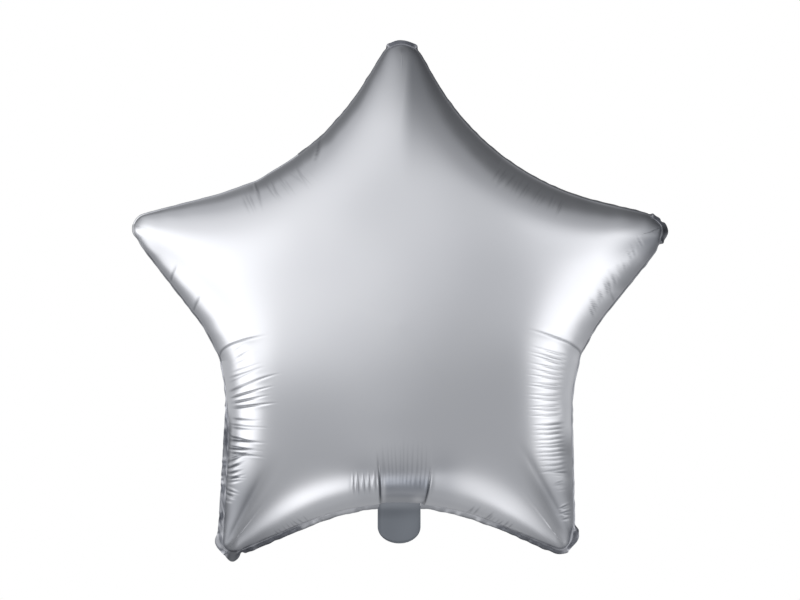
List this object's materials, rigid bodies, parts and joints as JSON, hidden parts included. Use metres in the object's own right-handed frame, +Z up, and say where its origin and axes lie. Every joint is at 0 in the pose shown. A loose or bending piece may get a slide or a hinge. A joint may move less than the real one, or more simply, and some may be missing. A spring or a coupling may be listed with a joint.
{
  "type": "star foil balloon",
  "caption": "Inflated five-pointed star balloon of satin silver foil, with a welded edge band and a flat filling neck that folds at its root.",
  "frame": {"origin": "middle of the inflated envelope, in the plane of the edge seam", "axes": "+X across the arms to the right as seen from the front, -Y out of the front panel, +Z up to the top point"},
  "size_m": [0.4818, 0.1604, 0.4613],
  "materials": {
    "foil": "satin silver film, smooth and softly reflecting",
    "weld": "heat-sealed satin silver film, finely ribbed",
    "valve": "clear thin film"
  },
  "bodies": {
    "envelope": {"front_panel": "foil", "back_panel": "foil", "edge_seal": "weld", "neck_root": "foil"},
    "neck": {"neck_front_film": "foil", "neck_back_film": "foil", "neck_left_weld": "weld", "neck_right_weld": "weld", "valve_film": "valve"}
  },
  "joints": [
    {"name": "neck_fold", "type": "hinge", "parent": "envelope", "child": "neck", "pos_m": [0, 0, -0.1665], "axis": [1, 0, 0], "range_deg": [-100, 100]}
  ]
}
